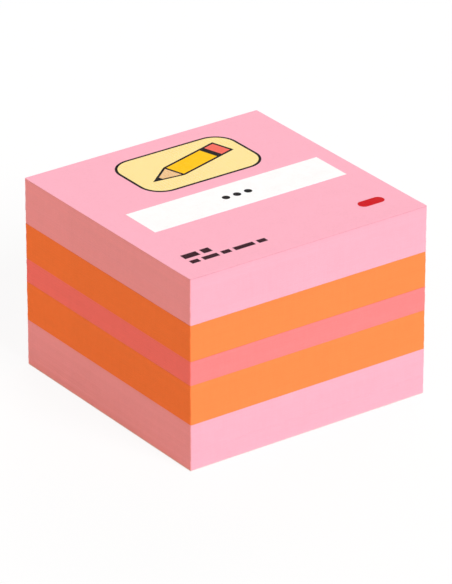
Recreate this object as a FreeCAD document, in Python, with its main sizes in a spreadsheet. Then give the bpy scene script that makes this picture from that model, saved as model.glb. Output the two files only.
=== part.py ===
"""A square cube of sticky notes, built as a parametric document.

The cube is a stack of loose paper sheets, cut to one size and held together only by a narrow strip of
tacky glue on the underside of each sheet. Five runs of coloured paper lie on each other: pink, orange,
coral, orange and pink. The top sheet is printed, and a plain backing sheet covers the lowest glue strip.

Frame: millimetres, +Z up, origin at the centre of the bottom face. The notes are read from the -Y side,
so the print runs along +X and the glue strips lie near the +Y edge.
"""

import FreeCAD
import Part
import Sketcher
import math
import os

# The driving dimensions: alias, value in millimetres (or a count, or degrees), and what it is.
DIMENSIONS = [
    ("sheet_width", 51, "note size along X"),
    ("sheet_depth", 51, "note size along Y"),
    ("sheet_caliper", 0.092, "thickness of one sheet of note paper"),
    ("backing_caliper", 0.1, "thickness of the backing sheet"),
    ("upper_pink_count", 95, "pink sheets under the printed one"),
    ("upper_orange_count", 75, "orange sheets above the coral ones"),
    ("coral_count", 50, "coral sheets"),
    ("lower_orange_count", 83, "orange sheets below the coral ones"),
    ("lower_pink_count", 96, "pink sheets at the bottom"),
    ("glue_film", 0.02, "thickness of a glue strip"),
    ("glue_width", 12, "size of a glue strip along Y"),
    ("glue_back_margin", 1, "bare paper between a glue strip and the back edge"),
    ("glue_side_margin", 0.5, "bare paper at each end of a glue strip"),
    ("ink_film", 0.02, "thickness of the printed ink"),
    ("ink_line", 0.5, "width of the emblem's black lines"),
    ("emblem_width", 25.6, "outside size of the emblem's panel along X"),
    ("emblem_depth", 15.4, "outside size of the emblem's panel along Y"),
    ("emblem_corner_radius", 4.5, "outside corner radius of the emblem's panel"),
    ("emblem_back_margin", 4.4, "bare paper between the emblem and the back edge"),
    ("emblem_right_shift", 1.6, "how far the emblem lies right of the middle"),
    ("pencil_margin", 2, "bare panel past each end of the drawn pencil"),
    ("pencil_width", 5, "width of the drawn pencil"),
    ("pencil_tilt", 16, "degrees that the drawn pencil leans up from the print's direction"),
    ("pencil_cone_length", 6, "length of the drawn pencil's sharpened cone"),
    ("pencil_lead_length", 2.2, "length of the black tip of that cone"),
    ("pencil_eraser_length", 2.4, "length of the drawn eraser"),
    ("pencil_ferrule_length", 1.3, "length of the black band beside the eraser"),
    ("field_depth", 9, "size of the white writing field along Y"),
    ("field_left_margin", 5.9, "bare paper left of the writing field"),
    ("field_right_margin", 3.5, "bare paper right of the writing field"),
    ("field_gap", 3.3, "bare paper between the emblem and the writing field"),
    ("dot_diameter", 1.5, "diameter of a black dot in the writing field"),
    ("dot_pitch", 2.4, "distance between the middles of two dots"),
    ("bar_left_margin", 4, "bare paper left of the rows of bars"),
    ("bar_front_margin", 4.9, "bare paper in front of the rows of bars"),
    ("bar_row_gap", 1, "bare paper between the two rows of bars"),
    ("bar_gap", 0.8, "bare paper between two bars of a row"),
    ("bold_bar_depth", 1.6, "size of the bars in the back row along Y"),
    ("fine_bar_depth", 1.2, "size of the bars in the front row along Y"),
    ("short_bar", 1.8, "length of a short bar"),
    ("medium_bar", 3.2, "length of a medium bar"),
    ("long_bar", 4.2, "length of a long bar"),
    ("pill_length", 5.4, "length of the red pill"),
    ("pill_width", 2.3, "width of the red pill"),
    ("pill_right_margin", 4.3, "bare paper right of the red pill"),
    ("pill_front_margin", 5.9, "bare paper in front of the red pill"),
]
DOT_COUNT = 3
BOLD_ROW = ("medium_bar", "short_bar")
FINE_ROW = ("short_bar", "medium_bar", "short_bar", "long_bar", "short_bar")

# The notes from the bottom up: name of the run of sheets, and its thickness.
NOTE_RUNS = [
    ("lower_pink_sheets", "sizes.lower_pink_count * sizes.sheet_caliper"),
    ("lower_orange_sheets", "sizes.lower_orange_count * sizes.sheet_caliper"),
    ("coral_sheets", "sizes.coral_count * sizes.sheet_caliper"),
    ("upper_orange_sheets", "sizes.upper_orange_count * sizes.sheet_caliper"),
    ("upper_pink_sheets", "sizes.upper_pink_count * sizes.sheet_caliper"),
    ("printed_top_sheet", "sizes.sheet_caliper"),
]

# Places on the printed face, measured from the middle of the sheet.
EMBLEM_X = "sizes.emblem_right_shift"
EMBLEM_Y = "sizes.sheet_depth / 2 - sizes.emblem_back_margin - sizes.emblem_depth / 2"
FIELD_WIDTH = "sizes.sheet_width - sizes.field_left_margin - sizes.field_right_margin"
FIELD_X = "(sizes.field_left_margin - sizes.field_right_margin) / 2"
FIELD_Y = f"{EMBLEM_Y} - (sizes.emblem_depth + sizes.field_depth) / 2 - sizes.field_gap"
BAR_LEFT = "-sizes.sheet_width / 2 + sizes.bar_left_margin"
FINE_ROW_Y = "-sizes.sheet_depth / 2 + sizes.bar_front_margin"
BOLD_ROW_Y = f"{FINE_ROW_Y} + sizes.fine_bar_depth + sizes.bar_row_gap"
PILL_X = "sizes.sheet_width / 2 - sizes.pill_right_margin - sizes.pill_length / 2"
PILL_Y = "-sizes.sheet_depth / 2 + sizes.pill_front_margin + sizes.pill_width / 2"

# The drawn pencil spans the panel between its two margins. It lies along a U axis of its own, with its
# point at 0, and its cells of colour are bounded by black lines.
PENCIL_SPAN = "(sizes.emblem_width - 2 * sizes.ink_line - 2 * sizes.pencil_margin)"
PENCIL_LENGTH = f"(({PENCIL_SPAN} - sizes.pencil_width * sin(sizes.pencil_tilt)) / cos(sizes.pencil_tilt))"
PENCIL_BACK_X = f"{PENCIL_LENGTH} / 2 * cos(sizes.pencil_tilt)"
PENCIL_BACK_Y = f"{PENCIL_LENGTH} / 2 * sin(sizes.pencil_tilt)"
PENCIL_HALF = "sizes.pencil_width / 2"
CELL_HALF = f"{PENCIL_HALF} - sizes.ink_line"
WOOD_START = "sizes.pencil_lead_length"
WOOD_START_HALF = f"{PENCIL_HALF} * {WOOD_START} / sizes.pencil_cone_length - sizes.ink_line"
WOOD_END = "sizes.pencil_cone_length - sizes.ink_line / 2"
WOOD_END_HALF = f"{PENCIL_HALF} * ({WOOD_END}) / sizes.pencil_cone_length - sizes.ink_line"
BARREL_START = "sizes.pencil_cone_length + sizes.ink_line / 2"
ERASER_END = f"{PENCIL_LENGTH} - sizes.ink_line"
ERASER_START = f"{ERASER_END} - sizes.pencil_eraser_length"
BARREL_END = f"{ERASER_START} - sizes.pencil_ferrule_length"

ORIGIN_POINT = (-1, 1)


def make_sheet():
    """Writes the driving dimensions into the document's spreadsheet."""
    sheet = doc.addObject("Spreadsheet::Sheet", "sizes")
    for row, (alias, value, meaning) in enumerate(DIMENSIONS, start=1):
        sheet.set(f"A{row}", alias)
        sheet.set(f"B{row}", str(value))
        sheet.set(f"C{row}", meaning)
        sheet.setAlias(f"B{row}", alias)
    doc.recompute()
    return sheet


def value_of(expression):
    """The number that an expression of the sheet's aliases has now."""
    return float(sizes.evalExpression(expression))


def new_body(name):
    """A body of its own for one piece. Its name is the piece's name."""
    body = doc.addObject("PartDesign::Body", name)
    body.Label = name
    body.AllowCompound = True
    return body


def place(body, x, y, z, tilt=None):
    """Binds where a body stands, and its turn about Z."""
    for axis, expression in zip("xyz", (x, y, z)):
        body.setExpression(f"Placement.Base.{axis}", expression)
    if tilt:
        body.setExpression("Placement.Rotation.Angle", tilt)


def top_of(body):
    """The height of a padded body's top face, as an expression."""
    return f"{body.Name}.Placement.Base.z + {body.Tip.Name}.Length"


def new_sketch(body, role):
    """A sketch on the body's own XY plane."""
    sketch = body.newObject("Sketcher::SketchObject", f"{body.Name}_{role}")
    plane = next(o for o in body.Origin.OriginFeatures if o.Role == "XY_Plane")
    sketch.AttachmentSupport = [(plane, "")]
    sketch.MapMode = "FlatFace"
    sketch.Visibility = False
    return sketch


def bind(sketch, kind, geometry, expression):
    """Adds a dimension to a sketch and binds it to an expression."""
    index = sketch.addConstraint(Sketcher.Constraint(kind, *geometry, value_of(expression)))
    sketch.setExpression(f"Constraints[{index}]", expression)


def bind_point(sketch, point, x, y):
    """Fixes a point of the sketch at x and y from the sketch's origin."""
    bind(sketch, "DistanceX", (*ORIGIN_POINT, *point), x)
    bind(sketch, "DistanceY", (*ORIGIN_POINT, *point), y)


def draw_polygon(sketch, corners):
    """Draws a closed outline through its corners, each an (x, y) pair of expressions."""
    points = [FreeCAD.Vector(value_of(x), value_of(y), 0) for x, y in corners]
    first = sketch.GeometryCount
    count = len(points)
    for i in range(count):
        sketch.addGeometry(Part.LineSegment(points[i], points[(i + 1) % count]), False)
    for i in range(count):
        follower = first + (i + 1) % count
        sketch.addConstraint(Sketcher.Constraint("Coincident", first + i, 2, follower, 1))
    for i, (x, y) in enumerate(corners):
        bind_point(sketch, (first + i, 1), x, y)


def draw_box(sketch, left, front, width, depth):
    """Draws a rectangle from its left front corner."""
    right = f"{left} + {width}"
    back = f"{front} + {depth}"
    draw_polygon(sketch, [(left, front), (right, front), (right, back), (left, back)])


def draw_centred_box(sketch, width, depth):
    """Draws a rectangle about the sketch's origin."""
    draw_box(sketch, f"-({width}) / 2", f"-({depth}) / 2", width, depth)


def draw_rounded(sketch, centres, radius):
    """Draws the band that wraps circles of one radius, whose centres run anticlockwise."""
    middles = [FreeCAD.Vector(value_of(x), value_of(y), 0) for x, y in centres]
    size = value_of(radius)
    count = len(middles)
    runs = [middles[(i + 1) % count] - middles[i] for i in range(count)]
    turns = [math.atan2(-run.x, run.y) for run in runs]
    arcs = []
    for i in range(count):
        start = turns[i - 1]
        sweep = (turns[i] - start) % math.tau
        circle = Part.Circle(middles[i], FreeCAD.Vector(0, 0, 1), size)
        arcs.append(Part.ArcOfCircle(circle, start, start + sweep))
    first = sketch.GeometryCount
    for arc in arcs:
        sketch.addGeometry(arc, False)
    for i in range(count):
        sketch.addGeometry(Part.LineSegment(arcs[i].EndPoint, arcs[(i + 1) % count].StartPoint), False)
    for i, (x, y) in enumerate(centres):
        side = first + count + i
        sketch.addConstraint(Sketcher.Constraint("Tangent", first + i, 2, side, 1))
        sketch.addConstraint(Sketcher.Constraint("Tangent", side, 2, first + (i + 1) % count, 1))
        bind(sketch, "Radius", (first + i,), radius)
        bind_point(sketch, (first + i, 3), x, y)


def draw_panel(sketch, radius):
    """Draws the emblem's rounded panel. Its corners turn about the same centres at any radius."""
    right = "sizes.emblem_width / 2 - sizes.emblem_corner_radius"
    back = "sizes.emblem_depth / 2 - sizes.emblem_corner_radius"
    left = f"-({right})"
    front = f"-({back})"
    draw_rounded(sketch, [(right, back), (left, back), (left, front), (right, front)], radius)


def draw_dot(sketch):
    """Draws the leftmost dot of the row in the middle of the writing field."""
    radius = value_of("sizes.dot_diameter / 2")
    circle = Part.Circle(FreeCAD.Vector(0, 0, 0), FreeCAD.Vector(0, 0, 1), radius)
    sketch.addGeometry(circle, False)
    bind(sketch, "Diameter", (0,), "sizes.dot_diameter")
    bind_point(sketch, (0, 3), f"-{DOT_COUNT - 1} / 2 * sizes.dot_pitch", "0")


def draw_bars(sketch, lengths, front, depth):
    """Draws a row of bars from the left margin, each as long as its alias says."""
    left = BAR_LEFT
    for alias in lengths:
        draw_box(sketch, left, front, f"sizes.{alias}", depth)
        left = f"{left} + sizes.{alias} + sizes.bar_gap"


def draw_pencil_outline(sketch):
    """Draws the outside of the pencil along U."""
    shoulder = "sizes.pencil_cone_length"
    corners = [
        ("0", "0"),
        (shoulder, f"-{PENCIL_HALF}"),
        (PENCIL_LENGTH, f"-{PENCIL_HALF}"),
        (PENCIL_LENGTH, PENCIL_HALF),
        (shoulder, PENCIL_HALF),
    ]
    draw_polygon(sketch, corners)


def draw_pencil_cell(sketch, start, start_half, end, end_half):
    """Draws one cell of colour of the pencil, from start to end along U."""
    corners = [
        (start, f"-({start_half})"),
        (end, f"-({end_half})"),
        (end, end_half),
        (start, start_half),
    ]
    draw_polygon(sketch, corners)


def add_pad(sketch, height):
    """Pads a sketch upwards, as the tip of its body."""
    body = sketch.getParentGeoFeatureGroup()
    pad = body.newObject("PartDesign::Pad", f"{sketch.Name}_pad")
    pad.Profile = sketch
    pad.setExpression("Length", height)
    body.Tip = pad
    return pad


def add_pocket(sketch, depth):
    """Cuts a sketch upwards from the underside, as the tip of its body."""
    body = sketch.getParentGeoFeatureGroup()
    pocket = body.newObject("PartDesign::Pocket", f"{sketch.Name}_pocket")
    pocket.Profile = sketch
    pocket.Reversed = True
    pocket.setExpression("Length", depth)
    body.Tip = pocket
    return pocket


def repeat_dots(feature, sketch):
    """Repeats a dot, or a hole for one, along the row."""
    body = sketch.getParentGeoFeatureGroup()
    row = body.newObject("PartDesign::LinearPattern", f"{sketch.Name}_row")
    row.Originals = [feature]
    row.Direction = (sketch, ["H_Axis"])
    row.Mode = "Spacing"
    row.Occurrences = DOT_COUNT
    row.setExpression("Offset", "sizes.dot_pitch")
    body.Tip = row


def make_paper(name, thickness, level):
    """A block of sheets, cut square, that lies at a level."""
    body = new_body(name)
    outline = new_sketch(body, "outline")
    draw_centred_box(outline, "sizes.sheet_width", "sizes.sheet_depth")
    add_pad(outline, thickness)
    place(body, "0", "0", level)
    return body


def make_glue(name, level):
    """The glue strip on the underside of the notes above a level."""
    body = new_body(name)
    outline = new_sketch(body, "outline")
    draw_centred_box(outline, "sizes.sheet_width - 2 * sizes.glue_side_margin", "sizes.glue_width")
    add_pad(outline, "sizes.glue_film")
    middle = "sizes.sheet_depth / 2 - sizes.glue_back_margin - sizes.glue_width / 2"
    place(body, "0", middle, level)
    return body


def make_stack():
    """Lays the notes on the backing sheet, each run of them on its own glue strip."""
    below = make_paper("backing_sheet", "sizes.backing_caliper", "0")
    for name, thickness in NOTE_RUNS:
        glue = make_glue(f"glue_under_{name}", top_of(below))
        below = make_paper(name, thickness, top_of(glue))
    return below


def make_writing_field(level):
    """The white field across the sheet, with a hole for each dot."""
    body = new_body("print_writing_field")
    outline = new_sketch(body, "outline")
    draw_centred_box(outline, FIELD_WIDTH, "sizes.field_depth")
    add_pad(outline, "sizes.ink_film")
    hole = new_sketch(body, "hole")
    draw_dot(hole)
    repeat_dots(add_pocket(hole, "sizes.ink_film"), hole)
    place(body, FIELD_X, FIELD_Y, level)


def make_field_dots(level):
    """The black dots in the holes of the writing field."""
    body = new_body("print_field_dots")
    dot = new_sketch(body, "dot")
    draw_dot(dot)
    repeat_dots(add_pad(dot, "sizes.ink_film"), dot)
    place(body, FIELD_X, FIELD_Y, level)


def make_emblem_frame(level):
    """The black line around the emblem's panel."""
    body = new_body("print_emblem_frame")
    outline = new_sketch(body, "outline")
    draw_panel(outline, "sizes.emblem_corner_radius")
    draw_panel(outline, "sizes.emblem_corner_radius - sizes.ink_line")
    add_pad(outline, "sizes.ink_film")
    place(body, EMBLEM_X, EMBLEM_Y, level)


def make_emblem_panel(level):
    """The cream panel inside the line, open where the pencil is drawn."""
    body = new_body("print_emblem_panel")
    outline = new_sketch(body, "outline")
    draw_panel(outline, "sizes.emblem_corner_radius - sizes.ink_line")
    add_pad(outline, "sizes.ink_film")
    opening = new_sketch(body, "opening")
    draw_pencil_outline(opening)
    opening.setExpression("AttachmentOffset.Base.x", f"-{PENCIL_BACK_X}")
    opening.setExpression("AttachmentOffset.Base.y", f"-{PENCIL_BACK_Y}")
    opening.setExpression("AttachmentOffset.Rotation.Angle", "sizes.pencil_tilt")
    add_pocket(opening, "sizes.ink_film")
    place(body, EMBLEM_X, EMBLEM_Y, level)


def place_pencil_piece(body, level):
    """Lays a piece drawn along U over the middle of the panel."""
    x = f"{EMBLEM_X} - {PENCIL_BACK_X}"
    y = f"{EMBLEM_Y} - {PENCIL_BACK_Y}"
    place(body, x, y, level, "sizes.pencil_tilt")


def make_pencil(level):
    """The pencil: its cells of colour, and the black lines, lead and ferrule around them."""
    cells = {
        "wood": (WOOD_START, WOOD_START_HALF, WOOD_END, WOOD_END_HALF),
        "barrel": (BARREL_START, CELL_HALF, BARREL_END, CELL_HALF),
        "eraser": (ERASER_START, CELL_HALF, ERASER_END, CELL_HALF),
    }
    lines = new_body("print_pencil_lines")
    outline = new_sketch(lines, "outline")
    draw_pencil_outline(outline)
    add_pad(outline, "sizes.ink_film")
    openings = new_sketch(lines, "openings")
    for cell in cells.values():
        draw_pencil_cell(openings, *cell)
    add_pocket(openings, "sizes.ink_film")
    place_pencil_piece(lines, level)
    for name, cell in cells.items():
        body = new_body(f"print_pencil_{name}")
        outline = new_sketch(body, "outline")
        draw_pencil_cell(outline, *cell)
        add_pad(outline, "sizes.ink_film")
        place_pencil_piece(body, level)


def make_bars(level):
    """The two rows of dark bars at the front left."""
    body = new_body("print_small_bars")
    outline = new_sketch(body, "outline")
    draw_bars(outline, FINE_ROW, FINE_ROW_Y, "sizes.fine_bar_depth")
    draw_bars(outline, BOLD_ROW, BOLD_ROW_Y, "sizes.bold_bar_depth")
    add_pad(outline, "sizes.ink_film")
    place(body, "0", "0", level)


def make_pill(level):
    """The red pill at the front right."""
    body = new_body("print_red_pill")
    outline = new_sketch(body, "outline")
    reach = "(sizes.pill_length - sizes.pill_width) / 2"
    draw_rounded(outline, [(reach, "0"), (f"-{reach}", "0")], "sizes.pill_width / 2")
    add_pad(outline, "sizes.ink_film")
    place(body, PILL_X, PILL_Y, level)


def check_document():
    """Stops if an object failed, a sketch is loose, a pocket cut nothing or a piece is not sound."""
    for item in doc.Objects:
        if {"Invalid", "Error"} & set(item.State):
            raise RuntimeError(f"{item.Name} is {item.State}")
        if item.TypeId == "Sketcher::SketchObject" and not item.FullyConstrained:
            raise RuntimeError(f"{item.Name} is not fully constrained")
        if item.TypeId == "PartDesign::Pocket" and item.Shape.Volume >= item.BaseFeature.Shape.Volume:
            raise RuntimeError(f"{item.Name} cut nothing")
    for body in bodies():
        if body.Shape.isNull() or not body.Shape.isValid():
            raise RuntimeError(f"{body.Label} has no sound shape")


def bodies():
    """The document's bodies, one for each piece."""
    return [item for item in doc.Objects if item.TypeId == "PartDesign::Body"]


doc = FreeCAD.newDocument("sticky_note_cube")
sizes = make_sheet()
top_sheet = make_stack()
print_level = top_of(top_sheet)
make_writing_field(print_level)
make_field_dots(print_level)
make_emblem_frame(print_level)
make_emblem_panel(print_level)
make_pencil(print_level)
make_bars(print_level)
make_pill(print_level)
doc.recompute()
check_document()

os.makedirs("parts", exist_ok=True)
for piece in bodies():
    piece.Shape.exportStep(f"parts/{piece.Label}.step")
    box = piece.Shape.BoundBox
    print(f"{piece.Label}: {piece.Shape.Volume:.3f} mm3, Z {box.ZMin:.3f} to {box.ZMax:.3f}")
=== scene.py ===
"""Dresses a cube of sticky notes: five runs of coloured notes, a printed top note and a backing sheet.

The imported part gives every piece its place. The runs of notes, the top note and the backing sheet are
modelled here, each note with an edge of its own, and stand for their plain solids. The printed ink and
the glue strips are the part's own solids with better finishes. Lengths are metres and +Z is up. The
reader looks at the cube from the -Y side, so the print runs along +X, and the notes are glued near their
+Y edge.
"""

import logging
import math
from abc import ABC, abstractmethod
from collections.abc import Callable
from dataclasses import dataclass, field
from enum import Enum
from functools import cache

import bmesh
import bpy
import numpy as np
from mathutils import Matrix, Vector


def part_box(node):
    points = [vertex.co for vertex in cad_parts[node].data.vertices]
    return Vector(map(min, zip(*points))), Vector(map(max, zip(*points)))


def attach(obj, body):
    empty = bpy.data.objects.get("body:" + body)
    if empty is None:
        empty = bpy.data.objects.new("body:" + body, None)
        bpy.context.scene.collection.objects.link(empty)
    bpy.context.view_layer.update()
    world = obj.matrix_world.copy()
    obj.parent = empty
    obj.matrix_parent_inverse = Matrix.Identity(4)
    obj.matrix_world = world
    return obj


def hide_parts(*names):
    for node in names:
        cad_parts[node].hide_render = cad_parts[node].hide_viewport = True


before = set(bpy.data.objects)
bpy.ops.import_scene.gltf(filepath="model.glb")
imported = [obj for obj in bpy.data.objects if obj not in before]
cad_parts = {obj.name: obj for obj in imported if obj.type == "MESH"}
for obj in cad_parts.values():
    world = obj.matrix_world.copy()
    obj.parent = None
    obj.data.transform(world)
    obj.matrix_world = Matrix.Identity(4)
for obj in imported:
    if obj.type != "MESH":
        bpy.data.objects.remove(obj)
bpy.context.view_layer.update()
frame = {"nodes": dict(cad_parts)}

MM = 0.001
LOG = logging.getLogger("note_cube")
ROOT_BODY = "root"
GLUE_WORDS = "glue_under_"
LEAF_MARK = "leaf"
BAKE_MAP = "OFBake"
CORNERS = 4

# What a node's input takes: another node's output, a number, or a colour or place.
Socket = bpy.types.NodeSocket
Feed = Socket | float | tuple[float, ...]


@dataclass(frozen=True)
class Colour:
    """A colour as a screen shows it, each part from 0 to 255."""

    red: float
    green: float
    blue: float

    def linear(self) -> tuple[float, float, float, float]:
        """Turns the colour into linear light.

        Returns:
            The red, green and blue light, with full alpha.
        """
        parts = (self.red / 255, self.green / 255, self.blue / 255)
        # The curve that screens use: a straight foot, then a power.
        light = [p / 12.92 if p <= 0.04045 else ((p + 0.055) / 1.055) ** 2.4 for p in parts]
        return (light[0], light[1], light[2], 1.0)


class Stock(Enum):
    """The papers that the sheets are cut from, each with the name that its finishes start with and its own
    colour.
    """

    PINK = ("pink_paper", Colour(247, 176, 195))
    ORANGE = ("orange_paper", Colour(252, 140, 76))
    CORAL = ("coral_paper", Colour(252, 134, 135))
    BACKING = ("backing_paper", Colour(236, 232, 224))

    @property
    def slot(self) -> str:
        """The name that the paper's finishes start with."""
        return self.value[0]

    @property
    def colour(self) -> Colour:
        """The paper's own colour."""
        return self.value[1]


class Kind(Enum):
    """What a socket of a node group carries."""

    PLACE = "NodeSocketVector"
    COLOUR = "NodeSocketColor"
    NUMBER = "NodeSocketFloat"


class Graph:
    """Adds nodes to one node tree and joins them."""

    def __init__(self, tree: bpy.types.NodeTree) -> None:
        """Keeps the tree that the nodes go into."""
        self.tree = tree

    def add(self, node_type: str, **settings: object) -> bpy.types.Node:
        """Adds a node.

        Args:
            node_type: The node's type, without the first words that all types share.
            **settings: Properties to set on the node.

        Returns:
            The new node.
        """
        node = self.tree.nodes.new("ShaderNode" + node_type)
        for name, value in settings.items():
            setattr(node, name, value)
        return node

    def feed(self, socket: Socket, value: Feed) -> None:
        """Joins an output to a socket, or sets the socket to a plain value.

        Args:
            socket: The input to feed.
            value: An output, a number, or a colour or place, of which the socket takes what it holds.
        """
        if isinstance(value, Socket):
            self.tree.links.new(value, socket)
        elif isinstance(value, tuple):
            socket.default_value = value[:len(socket.default_value)]
        else:
            socket.default_value = value

    def math(self, operation: str, first: Feed, second: Feed = 0.0) -> Socket:
        """Works out one number from two.

        Args:
            operation: The sum to do.
            first: The first number.
            second: The second number, for a sum that takes two.

        Returns:
            The result.
        """
        node = self.add("Math", operation=operation)
        self.feed(node.inputs[0], first)
        self.feed(node.inputs[1], second)
        return node.outputs[0]

    def ramp(self, value: Feed, start: Feed, end: Feed, low: Feed, high: Feed) -> Socket:
        """Maps a number that goes from start to end onto low to high, and holds it there.

        Args:
            value: The number to map.
            start: The value that gives low.
            end: The value that gives high.
            low: The result at start.
            high: The result at end.

        Returns:
            The mapped number.
        """
        node = self.add("MapRange")
        names = ("Value", "From Min", "From Max", "To Min", "To Max")
        for name, feed in zip(names, (value, start, end, low, high)):
            self.feed(node.inputs[name], feed)
        return node.outputs["Result"]

    def blend(self, factor: Feed, first: Feed, second: Feed) -> Socket:
        """Blends two colours.

        Args:
            factor: How much of the second colour there is.
            first: The colour at 0.
            second: The colour at 1.

        Returns:
            The blended colour.
        """
        node = self.add("Mix", data_type="RGBA", clamp_factor=True)
        # The node has sockets of the same name for numbers, places and colours, so these go by number.
        for index, feed in zip((0, 6, 7), (factor, first, second)):
            self.feed(node.inputs[index], feed)
        return node.outputs[2]

    def shade(self, colour: Feed, amount: Feed) -> Socket:
        """Makes a colour lighter or darker.

        Args:
            colour: The colour.
            amount: What its light is multiplied by.

        Returns:
            The new colour.
        """
        node = self.add("VectorMath", operation="SCALE")
        self.feed(node.inputs[0], colour)
        self.feed(node.inputs["Scale"], amount)
        return node.outputs[0]

    def split(self, place: Socket) -> list[Socket]:
        """Splits a place into its three numbers.

        Args:
            place: The place.

        Returns:
            Its x, y and z.
        """
        node = self.add("SeparateXYZ")
        self.feed(node.inputs[0], place)
        return list(node.outputs)

    def stretch(self, place: Socket, scale: tuple[float, float, float], turn: float = 0.0) -> Socket:
        """Turns a place about Z and scales it.

        Args:
            place: The place.
            scale: What its three numbers are multiplied by once it is turned.
            turn: How far it turns, in radians.

        Returns:
            The new place.
        """
        turned = self.add("VectorRotate", rotation_type="Z_AXIS")
        self.feed(turned.inputs["Vector"], place)
        self.feed(turned.inputs["Angle"], turn)
        scaled = self.add("VectorMath", operation="MULTIPLY")
        self.feed(scaled.inputs[0], turned.outputs[0])
        self.feed(scaled.inputs[1], scale)
        return scaled.outputs[0]

    def noise(self, place: Socket, grain: float, detail: float) -> Socket:
        """Gives smooth noise from 0 to 1.

        Args:
            place: The coordinates to read.
            grain: How many grains there are in a metre.
            detail: How many finer layers are added.

        Returns:
            The noise.
        """
        node = self.add("TexNoise")
        self.feed(node.inputs["Vector"], place)
        self.feed(node.inputs["Scale"], grain)
        self.feed(node.inputs["Detail"], detail)
        return node.outputs["Fac"]


class Effect:
    """A shader node group with named inputs and outputs, built once and used by several finishes."""

    def __init__(self, name: str, inputs: dict[str, Kind], outputs: dict[str, Kind]) -> None:
        """Makes the group's sockets.

        Args:
            name: The group's name.
            inputs: The name of each input and what it carries.
            outputs: The name of each output and what it carries.
        """
        self.tree = bpy.data.node_groups.new(name, "ShaderNodeTree")
        for side, sockets in (("INPUT", inputs), ("OUTPUT", outputs)):
            for label, kind in sockets.items():
                self.tree.interface.new_socket(name=label, in_out=side, socket_type=kind.value)
        self.graph = Graph(self.tree)
        self.given = self.tree.nodes.new("NodeGroupInput").outputs
        self.wanted = self.tree.nodes.new("NodeGroupOutput").inputs

    def result(self, **feeds: Feed) -> None:
        """Joins the group's outputs, by name."""
        for name, feed in feeds.items():
            self.graph.feed(self.wanted[name], feed)

    def use(self, graph: Graph, **feeds: Feed) -> bpy.types.NodeOutputs:
        """Places the group in a material.

        Args:
            graph: The material's graph.
            **feeds: What goes into each input, by name.

        Returns:
            The group's outputs.
        """
        node = graph.add("Group", node_tree=self.tree)
        for name, feed in feeds.items():
            graph.feed(node.inputs[name], feed)
        return node.outputs


@dataclass(frozen=True)
class Felt:
    """The felt of short fibres that paper is, with a cloudy look-through and a fine tooth."""

    fibre_grain: float = 9000.0
    fibre_length: float = 7.0
    fibre_turns: tuple[float, ...] = (0.35, 1.40, 2.45)
    fibre_range: tuple[float, float] = (0.45, 0.80)
    fibre_tones: tuple[float, float] = (0.955, 1.030)
    cloud_grain: float = 420.0
    cloud_range: tuple[float, float] = (0.3, 0.7)
    tooth_grain: float = 26000.0
    tooth_share: float = 0.35
    roughness: tuple[float, float] = (0.92, 0.82)

    @cache
    def effect(self) -> Effect:
        """Builds the group, once for all finishes.

        Returns:
            The effect, which takes a place, a colour and how cloudy the sheet is.
        """
        effect = Effect(
            "paper_felt",
            {"Place": Kind.PLACE, "Colour": Kind.COLOUR, "Cloud": Kind.NUMBER},
            {"Colour": Kind.COLOUR, "Height": Kind.NUMBER, "Roughness": Kind.NUMBER},
        )
        graph = effect.graph
        place = effect.given["Place"]
        fibres: Feed = 0.0
        for turn in self.fibre_turns:
            along = graph.stretch(place, (1.0 / self.fibre_length, 1.0, 1.0), turn)
            fibres = graph.math("MAXIMUM", fibres, graph.noise(along, self.fibre_grain, detail=1.0))
        tooth = graph.noise(place, self.tooth_grain, detail=0.0)
        cloud = graph.noise(place, self.cloud_grain, detail=3.0)
        darkest = graph.math("SUBTRACT", 1.0, effect.given["Cloud"])
        cloud_tone = graph.ramp(cloud, *self.cloud_range, darkest, 1.0)
        fibre_tone = graph.ramp(fibres, *self.fibre_range, *self.fibre_tones)
        effect.result(
            Colour=graph.shade(effect.given["Colour"], graph.math("MULTIPLY", fibre_tone, cloud_tone)),
            Height=graph.math("ADD", fibres, graph.math("MULTIPLY", tooth, self.tooth_share)),
            Roughness=graph.ramp(fibres, *self.fibre_range, *self.roughness),
        )
        return effect


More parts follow.
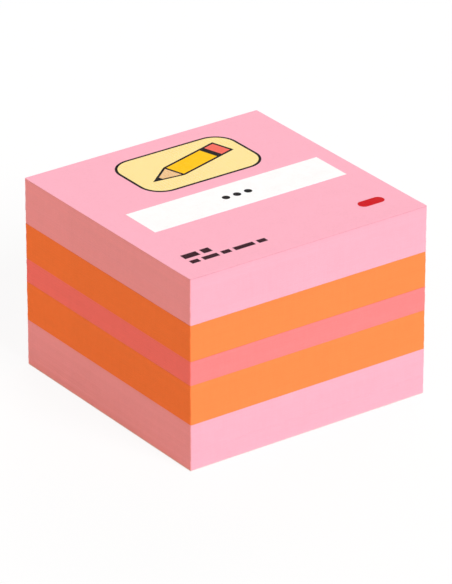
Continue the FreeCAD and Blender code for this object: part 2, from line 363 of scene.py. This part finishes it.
@dataclass(frozen=True)
class CutStack:
    """The cut face of a stack of sheets: a fine line of painted shade at each sheet, and the marks of the
    knife.

    The line, a groove in the relief and painted shade in the colour, starts at a share of a sheet's
    thickness from its middle. Its painted shade is darker where no glue holds the sheets together.
    """

    gap_start: float = 0.36
    free_shade: float = 0.80
    glued_shade: float = 0.92
    mark_grain: float = 5200.0
    mark_length: float = 26.0
    mark_range: tuple[float, float] = (0.3, 0.7)
    mark_tones: tuple[float, float] = (0.985, 1.010)
    roughness: tuple[float, float] = (0.96, 0.86)

    @cache
    def effect(self) -> Effect:
        """Builds the group, once for all finishes.

        Returns:
            The effect, which takes a place, how many sheets lie below it, a colour, the spread of the
            sheets' tones and how tightly glue holds the sheets there.
        """
        effect = Effect(
            "cut_stack",
            {
                "Place": Kind.PLACE,
                "Leaf": Kind.NUMBER,
                "Colour": Kind.COLOUR,
                "Spread": Kind.NUMBER,
                "Glued": Kind.NUMBER,
            },
            {"Colour": Kind.COLOUR, "Height": Kind.NUMBER, "Roughness": Kind.NUMBER},
        )
        graph = effect.graph
        leaf = effect.given["Leaf"]
        number = graph.math("FLOOR", leaf)
        part = graph.math("SUBTRACT", leaf, number)
        middle = 0.5
        from_middle = graph.math("ABSOLUTE", graph.math("SUBTRACT", part, middle))
        gap = graph.ramp(from_middle, self.gap_start, middle, 0.0, 1.0)
        # Painted shade: the gap between two sheets is darkened, most where no glue holds them.
        deepest_painted_shade = graph.ramp(effect.given["Glued"], 0.0, 1.0, self.free_shade, self.glued_shade)
        painted_gap_shade = graph.ramp(gap, 0.0, 1.0, 1.0, deepest_painted_shade)
        chance = graph.add("TexWhiteNoise", noise_dimensions="1D")
        graph.feed(chance.inputs["W"], number)
        palest = graph.math("SUBTRACT", 1.0, effect.given["Spread"])
        sheet_tone = graph.ramp(chance.outputs["Value"], 0.0, 1.0, palest, 1.0)
        down = graph.stretch(effect.given["Place"], (1.0, 1.0, 1.0 / self.mark_length))
        marks = graph.noise(down, self.mark_grain, detail=2.0)
        mark_tone = graph.ramp(marks, *self.mark_range, *self.mark_tones)
        tone = graph.math("MULTIPLY", graph.math("MULTIPLY", sheet_tone, mark_tone), painted_gap_shade)
        effect.result(
            Colour=graph.shade(effect.given["Colour"], tone),
            Height=graph.math("SUBTRACT", marks, gap),
            Roughness=graph.ramp(marks, *self.mark_range, *self.roughness),
        )
        return effect


@dataclass(frozen=True)
class InkLay:
    """How ink lies on paper: a screen of fine dots over a ground, thin where a fibre stands up."""

    pitch: float = 0.22 * MM
    turn: float = math.pi / 4
    softness: float = 0.25
    fibre_range: tuple[float, float] = (0.82, 1.02)

    @cache
    def effect(self) -> Effect:
        """Builds the group, once for all finishes.

        Returns:
            The effect, which takes a place, the ink's colour, the ground's, the paper's, how far the
            dots reach, the height of the felt and how much paper shows at its highest.
        """
        effect = Effect(
            "ink_lay",
            {
                "Place": Kind.PLACE,
                "Ink": Kind.COLOUR,
                "Ground": Kind.COLOUR,
                "Paper": Kind.COLOUR,
                "Reach": Kind.NUMBER,
                "Fibres": Kind.NUMBER,
                "Thin": Kind.NUMBER,
            },
            {"Colour": Kind.COLOUR},
        )
        graph = effect.graph
        step = math.tau / self.pitch
        across, along, _ = graph.split(graph.stretch(effect.given["Place"], (step, step, step), self.turn))
        waves = graph.math("ADD", graph.math("COSINE", across), graph.math("COSINE", along))
        reach = effect.given["Reach"]
        start = graph.math("SUBTRACT", reach, self.softness)
        end = graph.math("ADD", reach, self.softness)
        dots = graph.ramp(waves, start, end, 0.0, 1.0)
        screened = graph.blend(dots, effect.given["Ground"], effect.given["Ink"])
        bare = graph.ramp(effect.given["Fibres"], *self.fibre_range, 0.0, effect.given["Thin"])
        effect.result(Colour=graph.blend(bare, screened, effect.given["Paper"]))
        return effect


class Surface:
    """A material with one shader, which a finish feeds."""

    def __init__(self, name: str, specular: float) -> None:
        """Starts the material.

        Args:
            name: The material's name.
            specular: How strongly its surface mirrors.
        """
        self.material = bpy.data.materials.new(name)
        self.material.use_nodes = True
        self.graph = Graph(self.material.node_tree)
        self.shader = self.material.node_tree.nodes["Principled BSDF"]
        self.shader.inputs["Specular IOR Level"].default_value = specular
        self.place = self.graph.add("TexCoord").outputs["Object"]

    def paint(self, colour: Feed, roughness: Feed) -> None:
        """Feeds the shader's colour and roughness."""
        self.graph.feed(self.shader.inputs["Base Color"], colour)
        self.graph.feed(self.shader.inputs["Roughness"], roughness)

    def emboss(self, height: Feed, depth: float, strength: float) -> None:
        """Adds a relief.

        Args:
            height: The relief's height, about from 0 to 1.
            depth: What a height of 1 is, in metres.
            strength: How strong the relief is.
        """
        bump = self.graph.add("Bump")
        bump.inputs["Strength"].default_value = strength
        bump.inputs["Distance"].default_value = depth
        self.graph.feed(bump.inputs["Height"], height)
        self.graph.feed(self.shader.inputs["Normal"], bump.outputs[0])


@dataclass(frozen=True)
class CutEdgeFinish:
    """The sides of a run of notes, which lie tighter where the glue holds them, with less painted shade
    between the notes there.
    """

    stock: Stock
    glue_start: float
    glue_blend: float = 1.5 * MM
    cloud: float = 0.02
    spread: float = 0.045
    relief: float = 0.004 * MM
    relief_strength: float = 0.5
    specular: float = 0.2

    @cache
    def material(self) -> bpy.types.Material:
        """Builds the finish.

        Returns:
            Dyed felt with a tone for each sheet, fine gaps darkened with painted shade, and knife marks.
        """
        surface = Surface(f"{self.stock.slot}_cut", self.specular)
        graph, place = surface.graph, surface.place
        leaf = graph.add("Attribute", attribute_name=LEAF_MARK).outputs["Fac"]
        _, depth, _ = graph.split(place)
        # Where the glue holds the notes, the painted shade in the gaps between them is lighter.
        glued = graph.ramp(depth, self.glue_start - self.glue_blend, self.glue_start, 0.0, 1.0)
        felt = Felt().effect().use(
            graph, Place=place, Colour=self.stock.colour.linear(), Cloud=self.cloud
        )
        cut = CutStack().effect().use(
            graph, Place=place, Leaf=leaf, Colour=felt["Colour"], Spread=self.spread, Glued=glued
        )
        surface.paint(cut["Colour"], cut["Roughness"])
        surface.emboss(cut["Height"], self.relief, self.relief_strength)
        return surface.material


@dataclass(frozen=True)
class SheetFinish:
    """The flat face and the thin edge of a single sheet."""

    stock: Stock
    cloud: float = 0.02
    relief: float = 0.012 * MM
    relief_strength: float = 0.5
    specular: float = 0.2

    @cache
    def material(self) -> bpy.types.Material:
        """Builds the finish.

        Returns:
            Dyed felt with a fine tooth.
        """
        surface = Surface(f"{self.stock.slot}_sheet", self.specular)
        felt = Felt().effect().use(
            surface.graph, Place=surface.place, Colour=self.stock.colour.linear(), Cloud=self.cloud
        )
        surface.paint(felt["Colour"], felt["Roughness"])
        surface.emboss(felt["Height"], self.relief, self.relief_strength)
        return surface.material


@dataclass(frozen=True)
class InkFinish:
    """A field of printed ink, solid or screened, which the paper's felt shows through.

    With a ground of another colour the ink is a screen of dots on it. They cover half of it at a reach of
    0, and more of it at a lower one.
    """

    name: str
    colour: Colour
    ground: Colour | None = None
    reach: float = 0.0
    thin: float = 0.035
    cloud: float = 0.03
    roughness: float = 0.60
    dry_roughness: float = 0.80
    specular: float = 0.04
    relief: float = 0.003 * MM
    relief_strength: float = 0.3

    @cache
    def material(self) -> bpy.types.Material:
        """Builds the finish.

        Returns:
            Ink on its ground, on pink paper.
        """
        surface = Surface(self.name, self.specular)
        graph, place = surface.graph, surface.place
        ground = self.ground or self.colour
        bare = Felt().effect().use(graph, Place=place, Colour=Stock.PINK.colour.linear(), Cloud=0.0)
        lay = InkLay().effect().use(
            graph,
            Place=place,
            Ink=self.colour.linear(),
            Ground=ground.linear(),
            Paper=bare["Colour"],
            Reach=self.reach,
            Fibres=bare["Height"],
            Thin=self.thin,
        )
        felt = Felt().effect().use(graph, Place=place, Colour=lay["Colour"], Cloud=self.cloud)
        dry, fresh = Felt().roughness
        gloss = graph.ramp(felt["Roughness"], fresh, dry, self.roughness, self.dry_roughness)
        surface.paint(felt["Colour"], gloss)
        surface.emboss(felt["Height"], self.relief, self.relief_strength)
        return surface.material


@dataclass(frozen=True)
class GlueFinish:
    """The tacky strip: a milky film with fine beads in it."""

    name: str = "tacky_glue"
    colour: Colour = Colour(226, 222, 208)
    bead_grain: float = 16000.0
    bead_size: float = 0.6
    bead_tones: tuple[float, float] = (1.0, 0.9)
    roughness: tuple[float, float] = (0.25, 0.50)
    relief: float = 0.01 * MM
    relief_strength: float = 0.6
    specular: float = 0.5

    @cache
    def material(self) -> bpy.types.Material:
        """Builds the finish.

        Returns:
            A film with a relief of beads, darker and duller between them.
        """
        surface = Surface(self.name, self.specular)
        graph = surface.graph
        beads = graph.add("TexVoronoi")
        graph.feed(beads.inputs["Vector"], surface.place)
        graph.feed(beads.inputs["Scale"], self.bead_grain)
        apart = beads.outputs["Distance"]
        tone = graph.ramp(apart, 0.0, self.bead_size, *self.bead_tones)
        roughness = graph.ramp(apart, 0.0, self.bead_size, *self.roughness)
        surface.paint(graph.shade(self.colour.linear(), tone), roughness)
        surface.emboss(graph.math("SUBTRACT", 1.0, apart), self.relief, self.relief_strength)
        return surface.material


def select_points(piece: bpy.types.Object, test: Callable[[Vector], bool]) -> None:
    """Selects only the points of an open mesh whose place passes a test.

    Args:
        piece: The piece that is being edited.
        test: Tells whether a place is wanted.
    """
    bpy.ops.mesh.select_mode(type="VERT")
    mesh = bmesh.from_edit_mesh(piece.data)
    for point in mesh.verts:
        point.select_set(test(point.co))
    mesh.select_flush_mode()
    bmesh.update_edit_mesh(piece.data)


def select_edges(piece: bpy.types.Object, test: Callable[[bmesh.types.BMEdge], bool]) -> None:
    """Selects only the edges of an open mesh that pass a test.

    Args:
        piece: The piece that is being edited.
        test: Tells whether an edge is wanted.
    """
    bpy.ops.mesh.select_mode(type="EDGE")
    bpy.ops.mesh.select_all(action="DESELECT")
    mesh = bmesh.from_edit_mesh(piece.data)
    for edge in [edge for edge in mesh.edges if test(edge)]:
        edge.select_set(True)
    bmesh.update_edit_mesh(piece.data)


def read_rows(items: bpy.types.bpy_prop_collection, name: str) -> np.ndarray:
    """Reads a property of three numbers from each of a mesh's points or faces.

    Args:
        items: The mesh's points or faces.
        name: The property.

    Returns:
        The values, one row each.
    """
    values = np.empty(len(items) * 3)
    items.foreach_get(name, values)
    return values.reshape(-1, 3)


def read_counts(items: bpy.types.bpy_prop_collection, name: str) -> np.ndarray:
    """Reads a whole number from each of a mesh's faces or corners.

    Args:
        items: The mesh's faces or corners.
        name: The property.

    Returns:
        The numbers.
    """
    values = np.empty(len(items), dtype=int)
    items.foreach_get(name, values)
    return values


@dataclass(kw_only=True)
class PaperPiece(ABC):
    """A piece made of paper, which stands for one of the part's solids and takes its place."""

    name: str
    node: str
    stock: Stock
    corner_radius: float = 0.18 * MM
    corner_parts: int = 2
    low: Vector = field(init=False)
    high: Vector = field(init=False)
    size: Vector = field(init=False)
    middle: Vector = field(init=False)

    def __post_init__(self) -> None:
        """Reads the piece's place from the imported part."""
        self.low, self.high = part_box(self.node)
        self.size = self.high - self.low
        self.middle = (self.low + self.high) / 2

    @abstractmethod
    def model(self) -> bpy.types.Object:
        """Models the piece."""

    @abstractmethod
    def finish(self) -> bpy.types.Material:
        """Gives the piece's finish."""

    def build(self) -> bpy.types.Object:
        """Models the piece, dresses it and lets it stand for its solid.

        Returns:
            The finished piece.
        """
        bpy.ops.object.select_all(action="DESELECT")
        piece = self.model()
        piece.data.materials.clear()
        piece.data.materials.append(self.finish())
        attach(piece, ROOT_BODY)
        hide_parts(self.node)
        return piece

    def open_mesh(self) -> bpy.types.Object:
        """Names the primitive that has just been added, and opens its mesh.

        Returns:
            The new piece.
        """
        piece = bpy.context.object
        piece.name = self.name
        piece.data.name = self.name
        bpy.ops.object.mode_set(mode="EDIT")
        return piece

    def spread_outline(self, inset: float = 0.0) -> None:
        """Brings a square of side 1 at the origin to the size and place of the piece's underside.

        Args:
            inset: How far inside the piece's sides it stays.
        """
        across = (self.size.x - 2 * inset, self.size.y - 2 * inset, 1)
        bpy.ops.transform.resize(value=across, center_override=(0, 0, 0))
        bpy.ops.transform.translate(value=(self.middle.x, self.middle.y, self.low.z))

    def round_corners(self) -> None:
        """Rounds the selected corners of the outline."""
        bpy.ops.mesh.bevel(offset=self.corner_radius, segments=self.corner_parts, affect="VERTICES")


@dataclass(kw_only=True)
class NoteRun(PaperPiece):
    """A run of loose notes of one colour, each note with an edge of its own.

    A note's edge draws in by a lip at its top and bottom. Drift, jitter and stray are how far notes lie off
    the stack: changing slowly, note by note, and for a few of them further out. The sizes on the map are
    shares of its width and height.
    """

    seed: int
    caliper: float = 0.092 * MM
    lip: float = 0.013 * MM
    side_parts: int = 10
    drift: float = 0.018 * MM
    drift_notes: int = 25
    jitter: float = 0.006 * MM
    stray: float = 0.035 * MM
    stray_share: float = 0.04
    ripple: float = 0.022 * MM
    ripple_lengths: tuple[float, ...] = (11.0 * MM, 4.7 * MM)
    ripple_slant: float = 0.33
    sort_from: tuple[float, float, float] = (0.31, 0.17, 0.07)
    map_side: tuple[float, float] = (0.5, 0.48)
    map_end: float = 0.03
    map_end_apart: float = 0.06
    map_rim: float = 0.01
    end_steepness: float = 0.9
    count: int = field(init=False)
    pitch: float = field(init=False)

    def __post_init__(self) -> None:
        """Reads the run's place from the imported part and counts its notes."""
        super().__post_init__()
        self.count = round(self.size.z / self.caliper)
        self.pitch = self.size.z / self.count

    def finish(self) -> bpy.types.Material:
        """Gives the run's cut edges, with the start of the glue taken from the strip under them."""
        glue_low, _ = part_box(GLUE_WORDS + self.node)
        return CutEdgeFinish(self.stock, glue_low.y).material()

    def model(self) -> bpy.types.Object:
        """Models the run.

        Returns:
            The run, closed, with its notes laid a little off each other.
        """
        piece = self.cut_outline()
        self.raise_note()
        self.stack_notes(piece)
        self.close_ends(piece)
        self.mark_leaves(piece)
        self.settle(piece)
        self.lay_out_map(piece)
        return piece

    def cut_outline(self) -> bpy.types.Object:
        """Draws the outline of the lowest note: a square with small round corners, its sides divided.

        Returns:
            The outline, open for editing.
        """
        bpy.ops.mesh.primitive_circle_add(vertices=CORNERS, radius=math.sqrt(0.5), fill_type="NOTHING")
        piece = self.open_mesh()
        bpy.ops.transform.rotate(value=math.pi / CORNERS, orient_axis="Z", center_override=(0, 0, 0))
        self.spread_outline(self.lip)
        self.round_corners()
        select_edges(piece, lambda edge: edge.calc_length() > self.size.x / 2)
        bpy.ops.mesh.subdivide(number_cuts=self.side_parts - 1)
        return piece

    def raise_note(self) -> None:
        """Extrudes the outline into the edge of one note, with a lip at its top and bottom."""
        wider = self.size.x / (self.size.x - 2 * self.lip)
        deeper = self.size.y / (self.size.y - 2 * self.lip)
        steps = (
            (self.lip, (wider, deeper, 1)),
            (self.pitch - 2 * self.lip, (1, 1, 1)),
            (self.lip, (1 / wider, 1 / deeper, 1)),
        )
        bpy.ops.mesh.select_mode(type="VERT")
        bpy.ops.mesh.select_all(action="SELECT")
        for rise, scale in steps:
            bpy.ops.mesh.extrude_region_move(TRANSFORM_OT_translate={"value": (0, 0, rise)})
            bpy.ops.transform.resize(value=scale)
        bpy.ops.mesh.select_all(action="SELECT")
        self.sort_faces()
        bpy.ops.object.mode_set(mode="OBJECT")

    def sort_faces(self) -> None:
        """Puts the faces in an order that is the same in each run, which extruding edges does not."""
        cursor = bpy.context.scene.cursor
        # The place lies off every plane of symmetry, so no two faces are equally far from it.
        cursor.location = self.sort_from
        bpy.ops.mesh.sort_elements(type="CURSOR_DISTANCE", elements={"FACE"})
        cursor.location = (0, 0, 0)

    def stack_notes(self, piece: bpy.types.Object) -> None:
        """Repeats the edge upwards, once for each note.

        Args:
            piece: The edge of one note.
        """
        stack = piece.modifiers.new("stack", "ARRAY")
        stack.count = self.count
        stack.use_relative_offset = False
        stack.use_constant_offset = True
        stack.constant_offset_displace = (0, 0, self.pitch)
        stack.use_merge_vertices = True
        stack.merge_threshold = self.lip / 10
        bpy.ops.object.modifier_apply(modifier=stack.name)
        bpy.ops.object.transform_apply(location=True, rotation=True, scale=True)

    def close_ends(self, piece: bpy.types.Object) -> None:
        """Closes the run with a face at its bottom and one at its top, and turns all faces outward.

        Args:
            piece: The stacked edges.
        """
        bpy.ops.object.mode_set(mode="EDIT")
        for level in (self.low.z, self.high.z):
            select_points(piece, lambda place, level=level: abs(place.z - level) < self.lip / 2)
            bpy.ops.mesh.edge_face_add()
        bpy.ops.mesh.select_all(action="SELECT")
        bpy.ops.mesh.normals_make_consistent(inside=False)
        bpy.ops.object.mode_set(mode="OBJECT")

    def count_below(self, piece: bpy.types.Object) -> np.ndarray:
        """Counts the notes and part of a note below each point of the stack, while it is straight."""
        return (read_rows(piece.data.vertices, "co")[:, 2] - self.low.z) / self.pitch

    def mark_leaves(self, piece: bpy.types.Object) -> None:
        """Writes the count of notes at each point, for the finish to read."""
        mark = piece.data.attributes.new(LEAF_MARK, "FLOAT", "POINT")
        mark.data.foreach_set("value", self.count_below(piece).astype(np.float32))

    def shuffle(self, chance: np.random.Generator) -> np.ndarray:
        """Draws how far each note lies off the stack, in one direction.

        Args:
            chance: The run's own source of chance.

        Returns:
            One distance for each note: a slow drift, a small jitter and a few notes further out.
        """
        window = np.hanning(self.drift_notes)
        steps = chance.normal(size=self.count + self.drift_notes - 1)
        slow = np.convolve(steps, window / np.linalg.norm(window), mode="valid")
        strays = chance.random(self.count) < self.stray_share
        return (
            slow * self.drift
            + chance.normal(size=self.count) * self.jitter
            + strays * chance.uniform(-1, 1, self.count) * self.stray
        )

    def settle(self, piece: bpy.types.Object) -> None:
        """Lays each note a little off the stack, and lets the free ends of the notes ripple.

        Args:
            piece: The run.
        """
        chance = np.random.default_rng(self.seed)
        places = read_rows(piece.data.vertices, "co")
        below = self.count_below(piece)
        note = np.clip(np.floor(below), 0, self.count - 1).astype(int)
        # Two notes share the points where they meet, and these lie half way between the two.
        is_gap = np.abs(below - np.round(below)) < self.lip / self.pitch / 2
        gap = np.clip(np.round(below), 0, self.count).astype(int)
        for axis in (0, 1):
            shifts = self.shuffle(chance)
            between = (np.append(shifts[:1], shifts) + np.append(shifts, shifts[-1:])) / 2
            places[:, axis] += np.where(is_gap, between[gap], shifts[note])
        # The notes are held near their far edge, and the run keeps its height at both its ends.
        free = np.clip((self.high.y - places[:, 1]) / self.size.y, 0, 1)
        wave = np.zeros(len(places))
        for length in self.ripple_lengths:
            start = chance.uniform(0, math.tau)
            travel = places[:, 0] + places[:, 1] * self.ripple_slant
            wave += np.sin(travel / length * math.tau + start) / len(self.ripple_lengths)
        places[:, 2] += self.ripple * wave * free * np.sin(math.pi * below / self.count)
        piece.data.vertices.foreach_set("co", places.ravel())
        piece.data.update()

    def lay_out_map(self, piece: bpy.types.Object) -> None:
        """Lays the sides two by two on the map that the finish is baked to, and the ends above them.

        Each side is stretched upwards there, so that every note keeps a few pixels of its own. The ends
        lie hidden inside the cube, so they are small there.

        Args:
            piece: The run.
        """
        mesh = piece.data
        repeats = read_counts(mesh.polygons, "loop_total")
        normals = np.repeat(read_rows(mesh.polygons, "normal"), repeats, axis=0)
        corners = read_counts(mesh.loops, "vertex_index")
        places = read_rows(mesh.vertices, "co")[corners]
        share = np.clip((places - np.array(self.low)) / np.array(self.size), 0, 1)
        inner = self.map_rim + share * (1 - 2 * self.map_rim)
        along_x = np.abs(normals[:, 1]) >= np.abs(normals[:, 0])
        far = np.where(along_x, normals[:, 1], normals[:, 0]) > 0
        across = (far + np.where(along_x, inner[:, 0], inner[:, 1])) * self.map_side[0]
        upward = (along_x + inner[:, 2]) * self.map_side[1]
        is_end = np.abs(normals[:, 2]) > self.end_steepness
        end_across = np.where(normals[:, 2] > 0, self.map_end_apart, 0) + share[:, 0] * self.map_end
        end_upward = 2 * self.map_side[1] + share[:, 1] * self.map_end
        column = np.where(is_end, end_across, across)
        height = np.where(is_end, end_upward, upward)
        layer = mesh.uv_layers.new(name=BAKE_MAP, do_init=False)
        layer.uv.foreach_set("vector", np.column_stack((column, height)).astype(np.float32).ravel())


@dataclass(kw_only=True)
class SingleSheet(PaperPiece):
    """One sheet by itself: the printed top note, or the backing sheet."""

    lift: float = 0.0
    lift_reach: float = 4.0 * MM
    parts: int = 48
    edge_round: float = 0.012 * MM
    smooth_angle: float = math.radians(20)
    rim_angle: float = math.radians(60)

    def finish(self) -> bpy.types.Material:
        """Gives the sheet's finish."""
        return SheetFinish(self.stock).material()

    def model(self) -> bpy.types.Object:
        """Models the sheet.

        Returns:
            The sheet, with round corners and softened cut edges.
        """
        piece = self.cut_sheet()
        self.thicken(piece)
        if self.lift:
            self.raise_front(piece)
        bpy.ops.object.mode_set(mode="OBJECT")
        bpy.ops.object.transform_apply(location=True, rotation=True, scale=True)
        bpy.ops.object.shade_smooth_by_angle(angle=self.smooth_angle)
        return piece

    def cut_sheet(self) -> bpy.types.Object:
        """Lays a divided square at the sheet's underside and rounds its corners.

        Returns:
            The flat sheet, open for editing.
        """
        bpy.ops.mesh.primitive_grid_add(x_subdivisions=self.parts, y_subdivisions=self.parts, size=1)
        piece = self.open_mesh()
        self.spread_outline()
        reach = self.size.xy.length / 2 - self.corner_radius
        select_points(piece, lambda place: (place.xy - self.middle.xy).length > reach)
        self.round_corners()
        return piece

    def thicken(self, piece: bpy.types.Object) -> None:
        """Gives the sheet its thickness and rounds its cut edges.

        Args:
            piece: The flat sheet.
        """
        bpy.ops.mesh.select_mode(type="FACE")
        bpy.ops.mesh.select_all(action="SELECT")
        bpy.ops.mesh.extrude_region_move(TRANSFORM_OT_translate={"value": (0, 0, self.size.z)})
        bpy.ops.mesh.select_all(action="SELECT")
        bpy.ops.mesh.normals_make_consistent(inside=False)
        select_edges(piece, self.is_rim)
        bpy.ops.mesh.bevel(offset=self.edge_round, segments=1, affect="EDGES")

    def is_rim(self, edge: bmesh.types.BMEdge) -> bool:
        """Tells whether an edge lies between the sheet's side and one of its faces."""
        level = abs(edge.verts[0].co.z - edge.verts[1].co.z) < self.edge_round
        return level and len(edge.link_faces) == 2 and edge.calc_face_angle() > self.rim_angle

    def raise_front(self, piece: bpy.types.Object) -> None:
        """Lifts the free front edge a little, which dies away before the print starts.

        Args:
            piece: The sheet.
        """
        select_points(piece, lambda place: place.y < self.low.y + 2 * self.edge_round)
        bpy.ops.transform.translate(
            value=(0, 0, self.lift),
            use_proportional_edit=True,
            proportional_edit_falloff="SMOOTH",
            proportional_size=self.lift_reach,
        )


@dataclass
class PrintedFace:
    """The ink on the top note. Its solids stay, and get the finish of their ink."""

    inks: dict[str, InkFinish]

    def dress(self, nodes: dict[str, bpy.types.Object]) -> list[bpy.types.Object]:
        """Gives each field of ink its finish.

        Args:
            nodes: The part's solids, by name.

        Returns:
            The solids of ink.
        """
        for node, ink in self.inks.items():
            nodes[node].material_slots[0].material = ink.material()
        return [nodes[node] for node in self.inks]


@dataclass
class GlueStrips:
    """The tacky strips under the notes. Their solids stay."""

    glue: GlueFinish

    def dress(self, nodes: dict[str, bpy.types.Object]) -> list[bpy.types.Object]:
        """Gives each strip its finish.

        Args:
            nodes: The part's solids, by name.

        Returns:
            The solids of glue.
        """
        strips = [strip for name, strip in nodes.items() if name.startswith(GLUE_WORDS)]
        for strip in strips:
            strip.material_slots[0].material = self.glue.material()
        return strips


@dataclass(frozen=True)
class Lamp:
    """A broad, far lamp, which lights the cube and the floor evenly.

    It stands in the direction given, as seen from the cube, and its softness is how many degrees of the
    sky it fills.
    """

    name: str
    toward: tuple[float, float, float]
    level: float
    colour: tuple[float, float, float] = (1.0, 1.0, 1.0)
    softness: float = 40.0

    def add(self) -> None:
        """Adds the lamp, whose level of 1 shows a colour as it is written where it falls squarely."""
        bpy.ops.object.light_add(type="SUN", location=(0, 0, 1))
        lamp = bpy.context.object
        lamp.name = self.name
        lamp.rotation_euler = Vector(self.toward).to_track_quat("Z", "Y").to_euler()
        lamp.data.energy = self.level * math.pi
        lamp.data.color = self.colour
        lamp.data.angle = math.radians(self.softness)


@dataclass(frozen=True)
class Studio:
    """The camera, the pale floor, the lamps and the light of the room.

    The camera's two angles are in degrees and its lens is in millimetres. The floor throws light back in
    one colour and is seen in another, which is nearly white.
    """

    azimuth: float = -35.667
    elevation: float = 26.071
    distance: float = 891.44 * MM
    right: float = 0.246 * MM
    up: float = 15.537 * MM
    lens: float = 305.13
    floor_size: float = 6.0
    lit_colour: tuple[float, float, float, float] = (0.52, 0.44, 0.40, 1.0)
    seen_colour: tuple[float, float, float, float] = (0.97, 0.97, 0.97, 1.0)
    seen_white: float = 0.90
    room_level: float = 0.25
    lamps: tuple[Lamp, ...] = (
        Lamp("key", toward=(0.1, -0.83, 0.55), level=1.07, softness=30.0),
        Lamp("warm_side", toward=(-1.0, 0.1, 0.05), level=0.716, colour=(1.0, 0.552, 0.24)),
        Lamp("back", toward=(0.7, 0.7, 0.2), level=0.75, softness=60.0),
    )

    def build(self) -> None:
        """Builds the studio, the camera first."""
        bpy.context.scene.view_settings.view_transform = "Standard"
        self.add_camera()
        for lamp in self.lamps:
            lamp.add()
        self.light_room()
        self.add_floor()

    def add_camera(self) -> None:
        """Stands the camera where the photograph was taken from."""
        turn, rise = math.radians(self.azimuth), math.radians(self.elevation)
        level_back = Vector((math.sin(turn), -math.cos(turn), 0)) * math.cos(rise)
        back = level_back + Vector((0, 0, math.sin(rise)))
        right = Vector((math.cos(turn), math.sin(turn), 0))
        up = back.cross(right)
        bpy.ops.object.camera_add(location=back * self.distance + right * self.right + up * self.up)
        camera = bpy.context.object
        camera.name = "photo_camera"
        camera.rotation_euler = back.to_track_quat("Z", "Y").to_euler()
        camera.data.lens = self.lens
        bpy.context.scene.camera = camera

    def seen(self, graph: Graph) -> Socket:
        """Tells what is seen from what only lights.

        Args:
            graph: The graph to add to.

        Returns:
            1 for a ray of the camera, straight, mirrored or through glass, and 0 for other light.
        """
        rays = graph.add("LightPath").outputs
        sent_on = graph.math("MAXIMUM", rays["Is Glossy Ray"], rays["Is Transmission Ray"])
        return graph.math("MAXIMUM", rays["Is Camera Ray"], sent_on)

    def light_room(self) -> None:
        """Lights the cube softly from all round, before a white background."""
        world = bpy.data.worlds.new("room")
        world.use_nodes = True
        bpy.context.scene.world = world
        world.node_tree.nodes.clear()
        graph = Graph(world.node_tree)
        mix = graph.add("MixShader")
        graph.feed(mix.inputs[0], self.seen(graph))
        for socket, level in zip(mix.inputs[1:], (self.room_level, 1.0)):
            light = graph.add("Background")
            light.inputs["Color"].default_value = (1.0, 1.0, 1.0, 1.0)
            light.inputs["Strength"].default_value = level
            graph.feed(socket, light.outputs[0])
        graph.feed(graph.add("OutputWorld").inputs[0], mix.outputs[0])

    def add_floor(self) -> None:
        """Lays the pale floor, which shows white but for the cube's soft shadow."""
        bpy.ops.object.select_all(action="DESELECT")
        bpy.ops.mesh.primitive_plane_add(size=self.floor_size, location=(0, 0, 0))
        floor = bpy.context.object
        floor.name = "floor"
        material = bpy.data.materials.new("pale_floor")
        material.use_nodes = True
        material.node_tree.nodes.clear()
        graph = Graph(material.node_tree)
        seen = self.seen(graph)
        matt = graph.add("BsdfDiffuse")
        graph.feed(matt.inputs["Color"], graph.blend(seen, self.lit_colour, self.seen_colour))
        mix = graph.add("MixShader")
        graph.feed(mix.inputs[0], graph.math("MULTIPLY", seen, self.seen_white))
        graph.feed(mix.inputs[1], matt.outputs[0])
        graph.feed(mix.inputs[2], graph.add("Emission").outputs[0])
        graph.feed(graph.add("OutputMaterial").inputs[0], mix.outputs[0])
        floor.data.materials.append(material)


WHITE = Colour(250, 250, 251)
BLACK = Colour(10, 8, 10)
PALE = Colour(253, 240, 200)
INKS = {
    "print_writing_field": InkFinish("white_ink", WHITE),
    "print_field_dots": InkFinish("black_dot_ink", BLACK),
    "print_emblem_frame": InkFinish("black_frame_ink", BLACK),
    "print_emblem_panel": InkFinish("cream_ink", Colour(248, 212, 84), ground=PALE),
    "print_pencil_lines": InkFinish("black_line_ink", BLACK),
    "print_pencil_wood": InkFinish("tan_ink", Colour(226, 168, 104), ground=PALE, reach=-0.5),
    "print_pencil_barrel": InkFinish("amber_ink", Colour(253, 196, 8)),
    "print_pencil_eraser": InkFinish("coral_ink", Colour(240, 110, 96)),
    "print_small_bars": InkFinish("plum_ink", Colour(46, 8, 22)),
    "print_red_pill": InkFinish("red_ink", Colour(202, 6, 20)),
}
PAPERS = (
    SingleSheet(name="backing_paper", node="backing_sheet", stock=Stock.BACKING),
    NoteRun(name="lower_pink_notes", node="lower_pink_sheets", stock=Stock.PINK, seed=11),
    NoteRun(name="lower_orange_notes", node="lower_orange_sheets", stock=Stock.ORANGE, seed=23),
    NoteRun(name="coral_notes", node="coral_sheets", stock=Stock.CORAL, seed=37),
    NoteRun(name="upper_orange_notes", node="upper_orange_sheets", stock=Stock.ORANGE, seed=41),
    NoteRun(name="upper_pink_notes", node="upper_pink_sheets", stock=Stock.PINK, seed=59),
    SingleSheet(name="top_note", node="printed_top_sheet", stock=Stock.PINK, lift=0.05 * MM),
)


def main() -> None:
    """Builds the studio and every piece of the cube, from the floor up."""
    logging.basicConfig(level=logging.INFO)
    studio = Studio()
    studio.build()
    LOG.info("the studio has %d lamps", len(studio.lamps))
    for paper in PAPERS:
        piece = paper.build()
        LOG.info("%s stands for %s, with %d faces", piece.name, paper.node, len(piece.data.polygons))
    for layer in (PrintedFace(INKS), GlueStrips(GlueFinish())):
        for solid in layer.dress(frame["nodes"]):
            LOG.info("%s is dressed in %s", solid.name, solid.material_slots[0].material.name)


if __name__ == "__main__":
    main()
